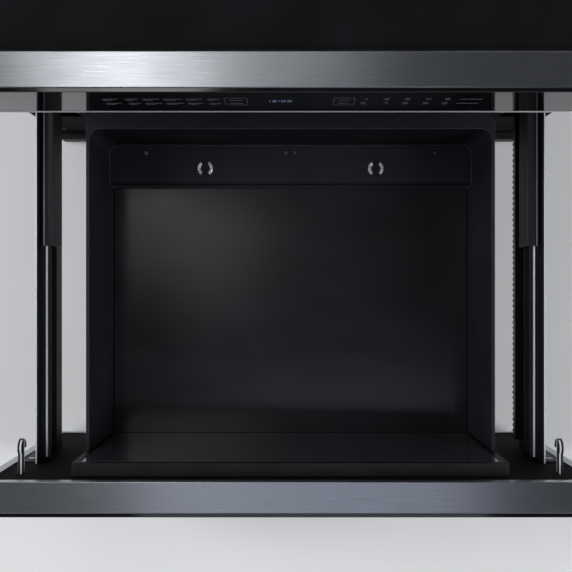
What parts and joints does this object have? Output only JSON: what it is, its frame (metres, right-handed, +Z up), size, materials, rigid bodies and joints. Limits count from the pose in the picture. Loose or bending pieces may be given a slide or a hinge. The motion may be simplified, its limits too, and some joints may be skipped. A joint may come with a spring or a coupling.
{
  "type": "microwave drawer",
  "caption": "Built-in microwave drawer, open on telescopic slides, with a steel-wrapped glass front, touch panel, sealed cavity and motor drive.",
  "frame": {"origin": "centre of the base pan's underside, on the surface that the chassis stands on", "axes": "+Z up, -Y towards the user and the way the drawer opens, +X to the right of someone who looks along +Y"},
  "size_m": [0.606, 1.0103, 0.404],
  "materials": {
    "galvanised": "zinc-coated folded sheet, satin spangle",
    "black_sheet": "black powder-coated sheet",
    "stainless": "stainless steel brushed along X",
    "bright_trim": "polished strip",
    "black_glass": "black toughened glass",
    "dark_enamel": "dark grey enamel",
    "tray_enamel": "dark satin moulding",
    "floor_ceramic": "glossy dark glass-ceramic",
    "slide_steel": "zinc-plated rolled steel",
    "ball_steel": "bearing steel in a plated cage",
    "black_plastic": "black moulded plastic",
    "white_plastic": "natural acetal",
    "grey_plastic": "grey moulded plastic",
    "board": "green printed board",
    "display": "dark display window",
    "chrome": "bright chrome",
    "screw_steel": "zinc-plated screws",
    "rubber": "black rubber",
    "aluminium": "pressed aluminium",
    "motor_steel": "plated motor can",
    "core_steel": "varnished laminations",
    "capacitor": "drawn aluminium can",
    "mica": "mica-filled cover"
  },
  "bodies": {
    "chassis": {"base_pan": "galvanised", "outer_case": "black_sheet", "rear_panel": "galvanised", "front_flange": "black_sheet", "side_flanges": "black_sheet", "bottom_vent": "black_plastic", "cavity_box": "dark_enamel", "cavity_supports": "galvanised", "panel_frame": "stainless", "control_trim": "bright_trim", "control_glass": "black_glass", "panel_housing": "black_plastic", "control_board": "board", "display_module": "display", "rail_outer_right": "slide_steel", "rail_outer_left": "slide_steel", "rail_supports": "galvanised", "drive_gearbox": "white_plastic", "drive_motor": "motor_steel", "interlock_holders": "grey_plastic", "interlock_switches": "black_plastic", "waveguide": "galvanised", "stirrer_cover": "mica", "stirrer_motor": "motor_steel", "magnetron": "aluminium", "air_duct": "grey_plastic", "fan_shroud": "black_plastic", "fan_motor": "motor_steel", "hv_transformer": "core_steel", "hv_capacitor": "capacitor", "power_board": "board", "cord_gland": "black_plastic", "cavity_lamp": "grey_plastic", "case_screws": "screw_steel", "door_bumpers": "rubber"},
    "drawer": {"tray": "tray_enamel", "floor_plate": "floor_ceramic", "rear_caps": "chrome", "side_plates": "slide_steel", "rail_inner_right": "slide_steel", "rail_inner_left": "slide_steel", "drive_rack": "white_plastic", "door_frame": "black_sheet", "door_screen": "black_sheet", "door_wrap": "stainless", "front_glass": "black_glass", "choke_cover": "black_plastic", "inner_glass": "black_glass", "drawer_screws": "screw_steel"},
    "mid_slide_right": {"rail_mid_right": "slide_steel"},
    "mid_slide_left": {"rail_mid_left": "slide_steel"},
    "outer_ball_cages": {"ball_cages_outer": "ball_steel"},
    "inner_ball_cages": {"ball_cages_inner": "ball_steel"},
    "pinion": {"drive_pinion": "white_plastic"},
    "stirrer": {"stirrer": "aluminium"},
    "fan": {"fan_wheel": "grey_plastic"},
    "latch_right": {"latch_hook_right": "grey_plastic"},
    "latch_left": {"latch_hook_left": "grey_plastic"},
    "button_right": {"switch_button_right": "white_plastic"},
    "button_left": {"switch_button_left": "white_plastic"}
  },
  "joints": [
    {"name": "drawer_slide", "type": "slide", "parent": "chassis", "child": "drawer", "axis": [0, 1, 0], "range_m": [0, 0.388]},
    {"name": "mid_slide_right_run", "type": "slide", "parent": "chassis", "child": "mid_slide_right", "axis": [0, 1, 0], "range_m": [0, 0.194]},
    {"name": "mid_slide_left_run", "type": "slide", "parent": "chassis", "child": "mid_slide_left", "axis": [0, 1, 0], "range_m": [0, 0.194]},
    {"name": "outer_cage_run", "type": "slide", "parent": "chassis", "child": "outer_ball_cages", "axis": [0, 1, 0], "range_m": [0, 0.097]},
    {"name": "inner_cage_run", "type": "slide", "parent": "chassis", "child": "inner_ball_cages", "axis": [0, 1, 0], "range_m": [0, 0.291]},
    {"name": "pinion_spin", "type": "hinge", "parent": "chassis", "child": "pinion", "pos_m": [0.262, -0.26, 0.12185], "axis": [1, 0, 0], "range_deg": [-1236, 0]},
    {"name": "stirrer_spin", "type": "hinge", "parent": "chassis", "child": "stirrer", "pos_m": [0, -0.084, 0.286], "axis": [0, 0, 1], "continuous": true},
    {"name": "fan_spin", "type": "hinge", "parent": "chassis", "child": "fan", "pos_m": [0, 0.259, 0.224], "axis": [0, 1, 0], "continuous": true},
    {"name": "latch_right_lift", "type": "hinge", "parent": "drawer", "child": "latch_right", "pos_m": [0.273, -0.6893, 0.271], "axis": [1, 0, 0], "range_deg": [0, 8], "stiffness_Nm_per_rad": 0.05, "springref_deg": -11.46},
    {"name": "latch_left_lift", "type": "hinge", "parent": "drawer", "child": "latch_left", "pos_m": [-0.273, -0.6893, 0.271], "axis": [1, 0, 0], "range_deg": [0, 8], "stiffness_Nm_per_rad": 0.05, "springref_deg": -11.46},
    {"name": "button_right_press", "type": "slide", "parent": "chassis", "child": "button_right", "axis": [0, 0, 1], "range_m": [0, 0.0012], "stiffness_N_per_m": 400, "springref_m": -0.002},
    {"name": "button_left_press", "type": "slide", "parent": "chassis", "child": "button_left", "axis": [0, 0, 1], "range_m": [0, 0.0012], "stiffness_N_per_m": 400, "springref_m": -0.002}
  ],
  "couplings": [
    {"joint": "mid_slide_right_run", "follows": "drawer_slide", "ratio": 0.5},
    {"joint": "mid_slide_left_run", "follows": "drawer_slide", "ratio": 0.5},
    {"joint": "outer_cage_run", "follows": "drawer_slide", "ratio": 0.25},
    {"joint": "inner_cage_run", "follows": "drawer_slide", "ratio": 0.75},
    {"joint": "pinion_spin", "follows": "drawer_slide", "rad_per_m": -55.556}
  ]
}
